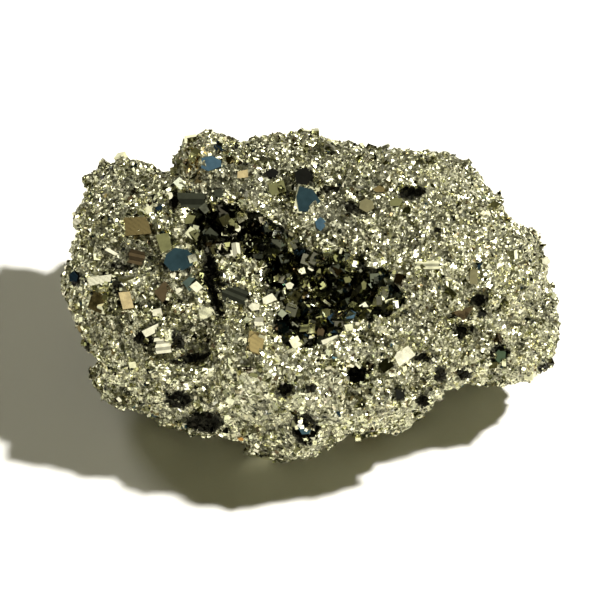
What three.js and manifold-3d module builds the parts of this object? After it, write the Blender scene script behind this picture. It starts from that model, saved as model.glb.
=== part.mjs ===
import * as THREE from 'three';
import { ImprovedNoise } from 'three/addons/math/ImprovedNoise.js';
import { mergeVertices } from 'three/addons/utils/BufferGeometryUtils.js';
import Module from 'manifold-3d';

// Pyrite specimen: one lumpy mass of intergrown pyrite crystals, with an open hollow in the
// face that it shows and a crust of crystals in that hollow. It lies loose on a flat patch.
// Millimetres, +X to the right, +Y to the back, +Z up.
//
// Most places are given on the show face, the side that faces up and forward: x to the right,
// y up across the face and z out of it, from the middle of the stone.

const SHOW_FACE_TURN = THREE.MathUtils.degToRad(42); // from facing straight up towards the front
const LEAN = 0.15; // how far the stone falls back behind the face, for each mm up the face

// Overall form: a blunt oval whose edge follows the outline
const HALF_LENGTH = 36.5;
const HALF_WIDTH = 22.5;
const HALF_DEPTH = 21;
const BLUNTNESS = 2.25; // 2 is an ellipsoid, more is squarer
const OUTLINE_FADE = [0.15, 0.7]; // where the outline gives way to the oval, 0 edge to 1 middle
const BASE_CUT = 15; // broken patch below the middle of the stone

// Relief: size across and height of humps, smaller knobs and steps
const HUMPS = [11, 4.0];
const KNOBS = [5.2, 2.4];
const STEPS = [2.6, 0.8];
const RELIEF_SINK = 2.8; // brings the relief back to the form's own size

// Flat facets of the skin
const STONE_DETAIL = 10; // cuts of each edge of the icosahedron that the skin starts from
const END_DENSITY = 1.4; // draws facets and crystals towards the far ends, where they spread
const CORNER_RISE = 0.75; // most that a corner of a facet stands out or lies deep
const SCATTER = 43758.5; // with the axis below, turns a direction into an uneven number
const SCATTER_AXIS = new THREE.Vector3(12.99, 78.23, 37.72);
const SMALLEST_DETAIL = 0.08; // shorter edges are merged

// Edge of the stone seen square to the show face, from the right end upwards
const OUTLINE = [
  [37.1, -3.6], [36.1, 1.6], [34.9, 4.6], [35.0, 6.4], [34.2, 9.6], [30.9, 10.8],
  [29.4, 11.6], [28.6, 13.4], [26.4, 16.5], [22.0, 20.2], [17.5, 22.1], [12.6, 21.0],
  [5.6, 23.5], [-3.3, 24.7], [-8.9, 23.6], [-10.2, 22.7], [-14.0, 24.7], [-18.9, 22.0],
  [-21.8, 19.0], [-24.8, 19.6], [-28.5, 20.6], [-32.2, 17.7], [-34.5, 14.6], [-35.6, 8.3],
  [-35.9, 5.0], [-37.9, 0.9], [-35.9, -4.3], [-34.3, -9.0], [-33.0, -13.7], [-27.0, -17.7],
  [-22.6, -19.6], [-16.6, -20.6], [-10.7, -21.4], [-7.0, -22.9], [-1.8, -24.7], [2.7, -22.1],
  [4.9, -19.4], [7.9, -19.6], [13.1, -20.3], [16.8, -18.4], [17.8, -14.9], [22.0, -13.7],
  [27.9, -13.7], [33.1, -13.1], [35.8, -11.7], [37.0, -8.0],
];

// Swellings and dents: x and y on the face, side (1 shown, -1 hidden), reach and height
const SWELLINGS = [
  [14.5, 14.0, 1, 11, 4.0], // fine-grained dome, upper right
  [-14.4, 21.7, 1, 5, 2.2], // knob on the upper edge
  [-28.5, 14.3, 1, 7, 1.8], // left shoulder
  [-27.8, -2.1, 1, 8, 2.4],
  [-1.8, -16.9, 1, 9, 2.6], // lobe that hangs over the front
  [26.4, 0.9, 1, 9, 2.0], // right end
  [12.3, -14.7, 1, 6, 1.6],
  [2.7, -8.0, 1, 7, 1.3], // ledge below the hollow
  [-3.3, 4.6, 1, 11, -5.0], // dip around the hollow
  [-19.6, -6.8, 1, 5, -3.4],
  [-8.5, 21.7, 1, 3, -2.2], // crease from the knob along the dome
  [-2.8, 18.0, 1, 4, -2.0],
  [7.6, 14.6, 1, 3.5, -2.0],
  [16.0, 12.0, 1, 4, -1.0],
  [-33.3, -9.8, 1, 3.5, -1.6],
  [24.2, -5.8, 1, 5, -1.6],
  [-20.0, 6.0, -1, 12, 2.4],
  [10.0, -4.0, -1, 14, 2.0],
  [25.0, 9.0, -1, 8, 1.6],
  [-4.0, 9.0, -1, 7, -2.2],
  [18.0, -10.0, -1, 6, -1.6],
  [27.0, -10.0, -1, 11, -5.0], // raised undersides of both ends
  [-28.0, -6.0, -1, 10, -4.0],
  [4.0, 6.0, -1, 12, -2.5],
];

const LOBE_DETAIL = 1;
const LOBE_BUMP = 0.16; // unevenness of a lobe, as a share of its size
const LOBE_BUMP_COUNT = 2.2;
const TOUCH_GAP = 0.35; // between the crust and the mass
const CRUST_THICKNESS = 0.9;
const CRUST_SINK = 0.7; // rim of the crust below the outside
// Lobes of the hollow: x, y, half width, half height, depth, turn in degrees, lined or bare
const HOLLOW_LOBES = [
  [-13.9, 10.2, 5.3, 4.2, 6.0, -12, true],
  [-8.4, 7.8, 5.6, 4.4, 7.0, -38, true],
  [-14.2, 1.9, 1.4, 5.4, 4.5, 14, false], // crevice left of the standing block
  [-4.4, 3.9, 5.6, 4.8, 8.0, -40, true],
  [2.0, 1.4, 7.6, 5.8, 8.5, -10, true],
  [7.2, 0.6, 5.6, 4.3, 6.5, -15, true],
  [-0.6, -3.8, 5.2, 4.0, 6.0, 8, true],
  [11.4, -0.8, 2.4, 1.5, 2.5, -10, false],
];

const PIT_DEPTH = 2.0;
const PIT_FULLNESS = 1.15; // makes up for the flat sides between a pit's corners
// Pits: x, y, half width and half height
const PITS = [
  [-19.3, -15.1, 1.9, 1.5], [-15.9, -18.2, 3.0, 1.8], [-4.0, -13.5, 1.5, 1.2],
  [6.4, -11.3, 1.7, 1.5], [-1.0, -19.0, 2.3, 2.5], [27.2, -8.3, 1.7, 1.6],
  [21.4, -5.0, 1.6, 1.3], [24.2, -0.6, 1.2, 1.2], [14.3, 15.0, 2.3, 1.3],
  [-21.8, -7.4, 2.4, 1.9], [-17.0, -8.3, 2.2, 1.8], [-20.2, 14.1, 1.0, 1.9],
];

const SHOW_CRYSTAL_RISE = 0.8;
const SHOW_CRYSTAL_ROOT = 1; // deeper than it is wide
const SHOW_CRYSTAL_ROOM = 3.0; // kept clear of other crystals
// Crystals with a large flat face to the front: x, y, width, height, turn about the face,
// then how far the flat face looks right and up, all in degrees
const SHOW_CRYSTALS = [
  [-25.6, 10.2, 3.6, 2.6, 8, -12, 10],
  [-21.6, 7.7, 1.9, 2.7, 12, 14, 8],
  [-19.3, 5.2, 3.8, 3.6, 25, 0, 12],
  [-14.8, 19.3, 3.0, 2.1, -10, 10, 16],
  [-13.4, 22.0, 1.9, 2.0, 20, -8, 18],
  [-0.9, 13.8, 3.4, 4.2, -12, 10, 8],
  [-1.3, 17.4, 3.0, 2.7, 20, -4, 24],
  [-5.2, 15.8, 2.4, 2.1, 10, -15, 5],
  [-30.7, -0.2, 2.4, 3.6, -8, -20, 4],
  [-27.0, -0.3, 2.2, 3.5, 12, 8, -6],
  [-21.7, 0.6, 2.3, 3.0, 35, -10, 6],
  [-30.8, 2.4, 4.8, 1.9, 14, -14, 20],
  [-23.4, -2.6, 2.4, 1.9, -30, 10, 0],
  [-20.9, -4.8, 3.6, 3.3, -18, 6, 14],
  [-8.2, -6.6, 2.3, 3.2, -10, 4, -10],
  [17.5, -7.3, 3.4, 2.9, 40, 12, -8],
  [26.8, -7.6, 2.4, 2.4, 20, 16, 10],
  [-1.0, -18.4, 2.6, 2.2, -25, -6, -14],
  [9.6, -4.4, 2.6, 2.3, 45, 18, 8],
  [-33.2, 8.6, 2.6, 3.0, 15, -30, 8],
  [20.8, 6.2, 2.4, 2.2, -20, 14, 12],
  [-18.3, 11.3, 2.6, 1.8, 8, -6, 20],
];

// Blocks that stand up in the hollow: x, y, sides, turn, look right and up, drop of the top
const HOLLOW_BLOCKS = [
  [-10.6, 3.4, 6.0, 5.4, 9.0, -16, -6, 10, 0.6],
  [-11.6, 6.8, 3.6, 2.4, 8.0, -14, -4, 16, 1.6],
  [-11.3, 0.0, 4.4, 3.6, 8.0, 18, 6, -16, 0.3],
  [-7.8, 0.6, 3.2, 3.6, 8.0, -30, 12, 4, 1.0],
];

const SKIN_CRYSTALS = 92;
const SKIN_CRYSTAL_SIZES = [2.2, 4.6];
const SKIN_CRYSTAL_SINK = 0.34; // middle of one below the skin, as a share of its size
const SKIN_CRYSTAL_SCATTER = 0.08;
const CRUST_CRYSTALS = 15;
const CRUST_CRYSTAL_SIZES = [2.2, 4.0];
const SMALL_SIZE_BIAS = 1.8; // 1 makes all sizes as common, more makes small ones commoner
const PLAIN_SHARE = 0.84; // of the skin's crystals that are plain cubes or blocks
const PYRITOHEDRON_SHARE = 0.1;
const PYRITOHEDRON_RADIUS = 0.62; // as a share of a crystal's size, as is the next
const CORNER_CUT_RADIUS = 1.14;

const wasm = await Module();
wasm.setup();
const { Manifold, Mesh } = wasm;

const noise = new ImprovedNoise();
const random = () => THREE.MathUtils.seededRandom();
const randomVector = () => (
  new THREE.Vector3(random(), random(), random()).multiplyScalar(2).subScalar(1));
THREE.MathUtils.seededRandom(7);

const faceTurn = new THREE.Quaternion().setFromAxisAngle(
  new THREE.Vector3(1, 0, 0), SHOW_FACE_TURN);

function fromFace(point) {
  const leaned = new THREE.Vector3(point.x, point.y, point.z - LEAN * point.y);
  return leaned.applyQuaternion(faceTurn);
}

// The outline's distance from the middle in a given direction
const outlineCurve = new THREE.CatmullRomCurve3(
  OUTLINE.map(([x, y]) => new THREE.Vector3(x, y, 0)), true, 'centripetal');
const outlineSteps = outlineCurve.getPoints(8 * OUTLINE.length).map((point) => ({
  angle: Math.atan2(point.y, point.x),
  radius: Math.hypot(point.x, point.y),
})).sort((a, b) => a.angle - b.angle);

function outlineRadius(angle) {
  const found = outlineSteps.findIndex((step) => step.angle >= angle);
  const after = found < 0 ? outlineSteps[0] : outlineSteps[found];
  const before = found > 0 ? outlineSteps[found - 1] : outlineSteps[outlineSteps.length - 1];
  const span = (after.angle - before.angle + 2 * Math.PI) % (2 * Math.PI);
  const along = (angle - before.angle + 2 * Math.PI) % (2 * Math.PI);
  const share = span > 0 ? Math.min(along / span, 1) : 0;
  return THREE.MathUtils.lerp(before.radius, after.radius, share);
}

// A blunt ellipsoid over the outline, which fades into a plain oval away from the edge
function plainRadius(direction) {
  const angle = Math.atan2(direction.y, direction.x);
  const oval = 1 / Math.hypot(Math.cos(angle) / HALF_LENGTH, Math.sin(angle) / HALF_WIDTH);
  const fade = THREE.MathUtils.smoothstep(Math.abs(direction.z), ...OUTLINE_FADE);
  const edge = THREE.MathUtils.lerp(outlineRadius(angle), oval, fade);
  const across = Math.hypot(direction.x, direction.y) / edge;
  const out = Math.abs(direction.z) / HALF_DEPTH;
  return (across ** BLUNTNESS + out ** BLUNTNESS) ** (-1 / BLUNTNESS);
}

// The point of a surface over x and y on the shown (1) or hidden (-1) side, by halving
function surfaceUnder(radiusOf, x, y, side) {
  let low = 0;
  let high = 2 * HALF_DEPTH;
  for (let halving = 0; halving < 30; halving += 1) {
    const middle = (low + high) / 2;
    const point = new THREE.Vector3(x, y, side * middle);
    const reach = point.length();
    if (reach < radiusOf(point.normalize())) {
      low = middle;
    } else {
      high = middle;
    }
  }
  return new THREE.Vector3(x, y, side * low);
}

const swellings = SWELLINGS.map(([x, y, side, reach, height]) => ({
  centre: surfaceUnder(plainRadius, x, y, side),
  reach,
  height,
}));

// Sharp-backed humps and knobs with rounded dips between them, and smaller unevenness
function relief(point) {
  const swell = ([across, height], start, shape) => height * shape(noise.noise(
    point.x / across + start, point.y / across, point.z / across + start));
  const sharpBacked = (value) => 0.5 - Math.abs(value);
  return swell(HUMPS, 3, sharpBacked) + swell(KNOBS, 5, sharpBacked)
    + swell(STEPS, 2, (value) => value) - RELIEF_SINK;
}

function stoneRadius(direction) {
  const radius = plainRadius(direction);
  const point = direction.clone().multiplyScalar(radius);
  let rise = relief(point);
  for (const { centre, reach, height } of swellings) {
    rise += height * Math.exp(-point.distanceToSquared(centre) / (reach * reach));
  }
  return radius + rise;
}

function towardsEnds(direction) {
  return direction.clone().setX(END_DENSITY * direction.x).normalize();
}

// Directions spaced evenly on a spiral, each moved a little at random
function scatteredDirections(count, scatter) {
  const goldenAngle = Math.PI * (3 - Math.sqrt(5));
  return Array.from({ length: count }, (_, index) => {
    const height = 1 - 2 * (index + 0.5) / count;
    const ring = Math.sqrt(1 - height * height);
    const direction = new THREE.Vector3(
      ring * Math.cos(index * goldenAngle), ring * Math.sin(index * goldenAngle), height);
    return towardsEnds(direction.add(randomVector().multiplyScalar(scatter)));
  });
}

const shown = (x, y) => surfaceUnder(stoneRadius, x, y, 1);

function solidFrom(geometry) {
  geometry.deleteAttribute('normal');
  geometry.deleteAttribute('uv');
  const merged = mergeVertices(geometry);
  return new Manifold(new Mesh({
    numProp: 3,
    vertProperties: Float32Array.from(merged.attributes.position.array),
    triVerts: Uint32Array.from(merged.index.array),
  }));
}

// A closed surface with a vertex at pointAt(direction) for each vertex of a round one
function shapedSphere(detail, pointAt) {
  const geometry = new THREE.IcosahedronGeometry(1, detail);
  geometry.deleteAttribute('normal');
  geometry.deleteAttribute('uv');
  const merged = mergeVertices(geometry);
  const position = merged.attributes.position;
  for (let index = 0; index < position.count; index += 1) {
    const direction = new THREE.Vector3().fromBufferAttribute(position, index).normalize();
    const point = pointAt(direction);
    position.setXYZ(index, point.x, point.y, point.z);
  }
  return solidFrom(merged);
}

// A number from -1 to 1 that jumps about from one direction to the next
function unevenNumber(direction) {
  const wave = SCATTER * Math.sin(direction.dot(SCATTER_AXIS));
  return 2 * (wave - Math.floor(wave)) - 1;
}

function stoneSolid(inset) {
  return shapedSphere(STONE_DETAIL, (even) => {
    const direction = towardsEnds(even);
    const corner = CORNER_RISE * unevenNumber(direction);
    return fromFace(direction.multiplyScalar(stoneRadius(direction) + corner - inset));
  });
}

function placed(geometry, turn, centre) {
  geometry.applyQuaternion(turn);
  geometry.translate(centre.x, centre.y, centre.z);
  return solidFrom(geometry);
}

function randomTurn() {
  const [a, b, c] = [random(), random() * 2 * Math.PI, random() * 2 * Math.PI];
  return new THREE.Quaternion(
    Math.sqrt(1 - a) * Math.sin(b), Math.sqrt(1 - a) * Math.cos(b),
    Math.sqrt(a) * Math.sin(c), Math.sqrt(a) * Math.cos(c));
}

// Pyrite's own forms: the cube, the cube with its corners cut, and the pyritohedron
function crystal(size, turn, centre) {
  const habit = random();
  if (habit < PLAIN_SHARE) {
    const [wide, high] = [size * (0.75 + 0.5 * random()), size * (0.75 + 0.5 * random())];
    return placed(new THREE.BoxGeometry(size, wide, high), turn, centre);
  }
  if (habit < PLAIN_SHARE + PYRITOHEDRON_SHARE) {
    return placed(new THREE.DodecahedronGeometry(PYRITOHEDRON_RADIUS * size), turn, centre);
  }
  const cube = placed(new THREE.BoxGeometry(size, size, size), turn, centre);
  const corners = placed(new THREE.OctahedronGeometry(CORNER_CUT_RADIUS * size), turn, centre);
  return cube.intersect(corners);
}

function randomSize([smallest, largest]) {
  return THREE.MathUtils.lerp(smallest, largest, random() ** SMALL_SIZE_BIAS);
}

// Makes a box's +Z side face out of the show face, then look right and up a bit
function turnOnFace(turn, right, up) {
  const look = new THREE.Quaternion().setFromEuler(new THREE.Euler(
    THREE.MathUtils.degToRad(-up), THREE.MathUtils.degToRad(right), 0, 'YXZ'));
  const spin = new THREE.Quaternion().setFromAxisAngle(
    new THREE.Vector3(0, 0, 1), THREE.MathUtils.degToRad(turn));
  return faceTurn.clone().multiply(look).multiply(spin);
}

function showCrystals() {
  return SHOW_CRYSTALS.map(([x, y, width, height, turn, right, up]) => {
    const depth = Math.min(width, height) + SHOW_CRYSTAL_ROOT;
    const boxTurn = turnOnFace(turn, right, up);
    const sink = new THREE.Vector3(0, 0, SHOW_CRYSTAL_RISE - depth / 2).applyQuaternion(boxTurn);
    const centre = fromFace(shown(x, y)).add(sink);
    return placed(new THREE.BoxGeometry(width, height, depth), boxTurn, centre);
  });
}

function hollowBlocks(clearance) {
  return HOLLOW_BLOCKS.map(([x, y, width, height, depth, turn, right, up, drop]) => {
    const boxTurn = turnOnFace(turn, right, up);
    const sink = new THREE.Vector3(0, 0, -drop - depth / 2).applyQuaternion(boxTurn);
    const centre = fromFace(shown(x, y)).add(sink);
    const sides = [width, height, depth].map((side) => side + 2 * clearance);
    return placed(new THREE.BoxGeometry(...sides), boxTurn, centre);
  });
}

const lobes = HOLLOW_LOBES.map(([x, y, width, height, depth, turn, lined]) => ({
  centre: fromFace(shown(x, y)),
  radii: new THREE.Vector3(width, height, depth),
  turn: turnOnFace(turn, 0, 0),
  lined,
}));

const lined = lobes.filter((lobe) => lobe.lined);

// A point of a lobe's wall, moved in by inset
function lobePoint(lobe, direction, inset) {
  const reach = direction.clone().multiply(lobe.radii);
  const spot = direction.clone().multiplyScalar(LOBE_BUMP_COUNT);
  const bump = LOBE_BUMP * noise.noise(spot.x + lobe.centre.x, spot.y, spot.z);
  const length = reach.length() * (1 + bump) - inset;
  return reach.setLength(length).applyQuaternion(lobe.turn).add(lobe.centre);
}

function hollow(chosen, inset) {
  return Manifold.union(chosen.map((lobe) => (
    shapedSphere(LOBE_DETAIL, (direction) => lobePoint(lobe, direction, inset)))));
}

function pits() {
  return PITS.map(([x, y, halfWidth, halfHeight]) => {
    const pit = new THREE.IcosahedronGeometry(PIT_FULLNESS);
    pit.rotateZ(x + y);
    pit.scale(halfWidth, halfHeight, PIT_DEPTH);
    return placed(pit, faceTurn, fromFace(shown(x, y)));
  });
}

function farFromShowCrystals(point) {
  return SHOW_CRYSTALS.every(([x, y]) => (
    point.distanceTo(fromFace(shown(x, y))) > SHOW_CRYSTAL_ROOM));
}

function outsideHollow(point) {
  return lobes.every((lobe) => point.distanceTo(lobe.centre) > lobe.radii.x / 2);
}

function skinCrystals() {
  const solids = [];
  for (const direction of scatteredDirections(SKIN_CRYSTALS, SKIN_CRYSTAL_SCATTER)) {
    const size = randomSize(SKIN_CRYSTAL_SIZES);
    const centre = fromFace(direction.clone().multiplyScalar(
      stoneRadius(direction) - SKIN_CRYSTAL_SINK * size));
    const solid = crystal(size, randomTurn(), centre);
    if (farFromShowCrystals(centre) && outsideHollow(centre)) {
      solids.push(solid);
    }
  }
  return solids;
}

function crustCrystals() {
  const solids = [];
  for (let index = 0; index < CRUST_CRYSTALS; index += 1) {
    const lobe = lined[index % lined.length];
    const inwards = randomVector();
    inwards.z = -Math.abs(inwards.z);
    const centre = lobePoint(lobe, inwards.normalize(), TOUCH_GAP + CRUST_THICKNESS);
    const sides = [0, 1, 2].map(() => randomSize(CRUST_CRYSTAL_SIZES));
    solids.push(placed(new THREE.BoxGeometry(...sides), randomTurn(), centre));
  }
  return solids;
}

function largestBody(solid) {
  return solid.decompose().reduce((a, b) => (a.volume() > b.volume() ? a : b));
}

function massSolid() {
  const stone = Manifold.union([stoneSolid(0), ...skinCrystals(), ...showCrystals()]);
  const hollowed = stone.subtract(Manifold.union([hollow(lobes, 0), ...pits()]));
  const side = 4 * HALF_LENGTH;
  const below = solidFrom(new THREE.BoxGeometry(side, side, side)
    .translate(0, 0, -BASE_CUT - side / 2));
  return Manifold.union([hollowed, ...hollowBlocks(0)]).subtract(below);
}

function crustSolid() {
  const outer = hollow(lined, TOUCH_GAP);
  const lining = outer.subtract(hollow(lined, TOUCH_GAP + CRUST_THICKNESS));
  const grown = Manifold.union([lining, ...crustCrystals()]).intersect(outer);
  const sunk = grown.intersect(stoneSolid(CRUST_SINK));
  return sunk.subtract(Manifold.union(hollowBlocks(TOUCH_GAP)));
}

function namedMesh(name, solid, colour, roughness) {
  const { vertProperties, triVerts } = largestBody(solid.simplify(SMALLEST_DETAIL)).getMesh();
  const geometry = new THREE.BufferGeometry();
  geometry.setAttribute('position', new THREE.BufferAttribute(vertProperties, 3));
  geometry.setIndex(new THREE.BufferAttribute(triVerts, 1));
  const material = new THREE.MeshStandardMaterial({
    color: colour, metalness: 0.9, roughness, flatShading: true });
  const mesh = new THREE.Mesh(geometry, material);
  mesh.name = name;
  return mesh;
}

const mass = namedMesh('pyrite_mass', massSolid(), '#aaa57e', 0.3);
const crust = namedMesh('hollow_crystals', crustSolid(), '#6f6a4e', 0.25);

const specimen = new THREE.Group();
specimen.add(mass, crust);
const box = new THREE.Box3().setFromObject(specimen);
const middle = box.getCenter(new THREE.Vector3());
specimen.position.set(-middle.x, -middle.y, -box.min.z);

export default specimen;
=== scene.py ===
import math

import bmesh
import bpy
import numpy as np
from mathutils import Matrix, Vector, noise
from mathutils.bvhtree import BVHTree


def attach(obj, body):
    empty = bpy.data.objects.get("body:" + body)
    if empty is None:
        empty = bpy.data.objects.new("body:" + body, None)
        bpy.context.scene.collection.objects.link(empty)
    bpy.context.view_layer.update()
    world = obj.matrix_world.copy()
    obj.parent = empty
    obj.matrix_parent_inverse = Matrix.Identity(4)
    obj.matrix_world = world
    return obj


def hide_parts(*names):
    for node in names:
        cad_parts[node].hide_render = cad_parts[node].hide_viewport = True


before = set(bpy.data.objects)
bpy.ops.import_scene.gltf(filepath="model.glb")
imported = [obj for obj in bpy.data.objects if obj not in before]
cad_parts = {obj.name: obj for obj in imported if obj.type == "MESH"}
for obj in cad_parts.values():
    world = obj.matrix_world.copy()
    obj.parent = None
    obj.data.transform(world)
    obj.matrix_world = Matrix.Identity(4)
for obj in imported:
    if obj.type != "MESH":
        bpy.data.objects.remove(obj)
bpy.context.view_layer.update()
MM = 0.001


# The mass: one lump of intergrown pyrite, a natural iron sulphide, pale brassy and metallic.
# It came out of its rock whole. The larger crystals keep their flat, finely lined faces, and
# the rest is an uneven skin that the grains grow from. It lies loose on a broken patch.

# The show face is the side that is seen from the front and above, and square to the camera.
# Places on it are in mm to the right and up from its middle.
SHOW_FACE_MIDDLE = Vector((0.349, 0.662, 15.0)) * MM
SHOW_FACE_ELEVATION = math.radians(48)
SHOW_RIGHT = Vector((1, 0, 0))
SHOW_UP = Vector((0, math.sin(SHOW_FACE_ELEVATION), math.cos(SHOW_FACE_ELEVATION)))
SHOW_OUT = Vector((0, -math.cos(SHOW_FACE_ELEVATION), math.sin(SHOW_FACE_ELEVATION)))

# Pyrite's pale brass and the tints of its faces. Cream is a painted reflection of the lit table.
# The olive, tan, brown, smoky, blue, green and black tints are partly tarnish and partly painted
# reflection of the dim room and of shade.
PALE = (0.66, 0.65, 0.43)
CREAM = (0.70, 0.68, 0.50)
OLIVE = (0.15, 0.15, 0.065)
TAN = (0.155, 0.122, 0.050)
BROWN = (0.075, 0.055, 0.028)
SMOKE = (0.036, 0.039, 0.026)
BLUE = (0.020, 0.040, 0.046)
NIGHT_BLUE = (0.010, 0.020, 0.028)
GREEN = (0.06, 0.09, 0.05)
BLACK = (0.010, 0.010, 0.008)

# Places of painted shade in pits, crevices and creases and on darker patches, which are duller too:
# x, y, half width and half height in mm on the show face, turn in degrees, and how light the
# painted shade leaves it inside
PAINTED_SHADE_PLACES = [
    (-19.3, -15.1, 1.9, 1.4, 0, 0), (-15.9, -18.4, 3.0, 1.7, 0, 0), (-4.0, -13.5, 1.4, 1.1, 30, 0),
    (6.4, -11.3, 1.7, 1.5, 0, 0), (-1.0, -19.2, 2.1, 2.4, 0, 0), (27.2, -8.3, 1.6, 1.5, 0, 0),
    (21.4, -5.0, 1.2, 1.0, 0, 0), (24.2, -0.6, 1.0, 1.0, 0, 0), (14.3, 15.0, 2.2, 1.0, 0, 0),
    (-24.3, -6.2, 1.7, 1.0, 0, 0), (-17.5, -9.0, 2.6, 0.7, 8, 0), (-19.4, -6.5, 0.8, 1.8, 20, 0),
    (-28.3, 1.4, 0.7, 1.2, 10, 0), (-0.3, -13.4, 0.8, 0.7, 0, 0), (18.6, -11.4, 0.9, 1.3, 20, 0),
    (22.1, -11.4, 1.3, 0.8, 0, 0), (33.9, -10.5, 1.1, 0.6, 0, 0), (16.0, -15.1, 1.0, 1.0, 0, 0),
    (5.5, 12.9, 1.1, 0.7, 0, 0), (2.8, 15.7, 1.2, 0.6, 0, 0), (18.1, 9.4, 0.6, 0.5, 0, 0),
    (16.2, -8.9, 1.8, 0.6, 0, 0), (20.3, -3.4, 0.6, 1.1, 10, 0), (-33.2, -9.8, 0.7, 3.3, 0, 0),
    (-34.9, 2.7, 0.9, 1.1, 0, 0), (-20.2, 14.1, 0.7, 1.7, 0, 0), (-14.2, 1.9, 1.2, 5.0, 14, 0),
    (-27.6, 4.2, 1.9, 0.6, -10, 0), (-10.0, 16.8, 4.4, 2.4, 0, 0.45),
    (-3.8, 17.2, 3.2, 2.6, 0, 0.6), (-5.5, 19.6, 4.0, 0.45, -27, 0.45),
    (4.0, 16.8, 5.2, 0.45, -14, 0.5), (16.5, 11.8, 3.0, 0.4, -50, 0.55),
    (3.6, 11.4, 3.4, 2.8, 0, 0.45), (-15.5, 15.8, 2.8, 2.2, 0, 0.5), (-26.0, 6.0, 3.4, 2.4, 0, 0.6),
]
# Their edges are uneven, and soft over the outer part of their width. They lie only on what
# points at least this much to the front.
PLACE_EDGE_WOBBLE = 0.3
PLACE_WOBBLE_SIZE = 0.9 * MM
PLACE_EDGE = 0.85
PLACE_EDGE_WIDTH = 0.25
FACING_FRONT = -0.3

# The skin's knobs: widths in mm and heights as shares, the height that is moved neither out nor in,
# how far out in mm a knob may reach, and the height below which a crease gets painted shade and how
# light that leaves it
LARGE_KNOB = 3.4
LARGE_KNOB_HEIGHT = 1.5
SMALL_KNOB = 1.5
SMALL_KNOB_HEIGHT = 0.8
MIDDLE_HEIGHT = 0.85
FURTHEST_OUT = 0.35
CREASE_HEIGHT = 0.45
CREASE_LIGHT_UNDER_PAINTED_SHADE = 0.25
FLECKS_PER_MM = 1.9
FLECK_HEIGHT = 0.2
SKIN_KNOBS = 1.1
SKIN_EDGE = 0.75 * MM

# The broken patch that the stone rests on has no knobs, only low flecks
REST_HEIGHT = 0.4 * MM
REST_FLECK_HEIGHT = 0.12 * MM
REST_FLECKS_PER_MM = 1.3

# The flat, flaky skin low in the middle of the show face
FLAKY_MIDDLE = (-6, -14)
FLAKY_SPREAD = (260, 120)
FLAKY_EVENED = 0.6

# A crystal's clean face has a square corner and at least this area, and fewer of them are
# picked on the show face, where the shown crystals come later
SAME_CORNER = 0.002 * MM
SAME_PLANE = math.radians(0.4)
MOST_CUTS = 9
RIGHT_ANGLE_SLACK = math.radians(0.8)
SMALLEST_FACE = 0.9 * MM * MM
SHOWN_SIDE = 0.2
CLEAN_SHARE_SHOWN = 0.05
CLEAN_SHARE = 0.22

# How the skin and the clean faces look, and how light painted shade leaves a pit inside and how
# dull it is
SKIN = (0.57, 0.56, 0.38)
FACE_COLOURS = [SKIN, PALE, OLIVE, TAN, BLUE, BROWN, BLACK]
FACE_SHARES = [0.0, 0.58, 0.22, 0.07, 0.03, 0.05, 0.05]
FACE_LIGHT_SPREAD = 0.10
FACE_ROUGHNESS = (0.08, 0.2)
SKIN_ROUGHNESS = 0.32
PALEST = 0.95
PIT_LIGHT_UNDER_PAINTED_SHADE = 0.04
PIT_DULLNESS = 0.3

random = np.random.default_rng(5)


def tidy_copy(node):
    """A CAD node's surface with its corners joined and its flat faces whole."""
    surface = bmesh.new()
    surface.from_mesh(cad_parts[node].data)
    bmesh.ops.remove_doubles(surface, verts=surface.verts, dist=SAME_CORNER)
    bmesh.ops.dissolve_limit(surface, angle_limit=SAME_PLANE, use_dissolve_boundaries=False,
                             verts=surface.verts, edges=surface.edges)
    surface.normal_update()
    return surface


def on_show_face(point):
    """Where a point lies on the show face, right and up, in mm."""
    place = (point - SHOW_FACE_MIDDLE) / MM
    return place.dot(SHOW_RIGHT), place.dot(SHOW_UP)


def all_on_show_face(places):
    """The same for an array of points."""
    away = (places - np.array(SHOW_FACE_MIDDLE)) / MM
    return away @ np.array(SHOW_RIGHT), away @ np.array(SHOW_UP)


def turned_back(right, up, x, y, turn):
    """How far points lie from x, y along the sides of a form that is turned there."""
    c, s = math.cos(math.radians(turn)), math.sin(math.radians(turn))
    return (right - x) * c + (up - y) * s, (up - y) * c - (right - x) * s


def knobs(place):
    """Height of the skin's small round knobs, 0 in the creases between them and about 1 on top."""
    return (abs(noise.noise(place / LARGE_KNOB)) * LARGE_KNOB_HEIGHT
            + abs(noise.noise(place / SMALL_KNOB)) * SMALL_KNOB_HEIGHT)


def flaky(right, up):
    """1 where the show face is flat and flaky, low in its middle, falling to 0 away from there."""
    return np.exp(-(right - FLAKY_MIDDLE[0]) ** 2 / FLAKY_SPREAD[0]
                  - (up - FLAKY_MIDDLE[1]) ** 2 / FLAKY_SPREAD[1])


def light_under_painted_shade(places, outward):
    """How light painted shade leaves each point: 1 on the open skin, falling to 0 in the pits,
    crevices and creases of the show face.
    """
    right, up = all_on_show_face(places)
    wobble = np.array([noise.noise(Vector(p) / PLACE_WOBBLE_SIZE) for p in places])
    open_share = CREASE_LIGHT_UNDER_PAINTED_SHADE + (1 - CREASE_LIGHT_UNDER_PAINTED_SHADE) * np.clip(
        np.array([knobs(Vector(p) / MM) for p in places]) / CREASE_HEIGHT, 0, 1)
    for x, y, half_width, half_height, turn, light in PAINTED_SHADE_PLACES:
        across, along = turned_back(right, up, x, y, turn)
        reach = np.hypot(across / half_width, along / half_height) + PLACE_EDGE_WOBBLE * wobble
        inside = light + (1 - light) * np.clip((reach - PLACE_EDGE) / PLACE_EDGE_WIDTH, 0, 1)
        open_share = np.minimum(open_share, inside)
    return np.where(outward @ np.array(SHOW_OUT) > FACING_FRONT, open_share, 1.0)


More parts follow.
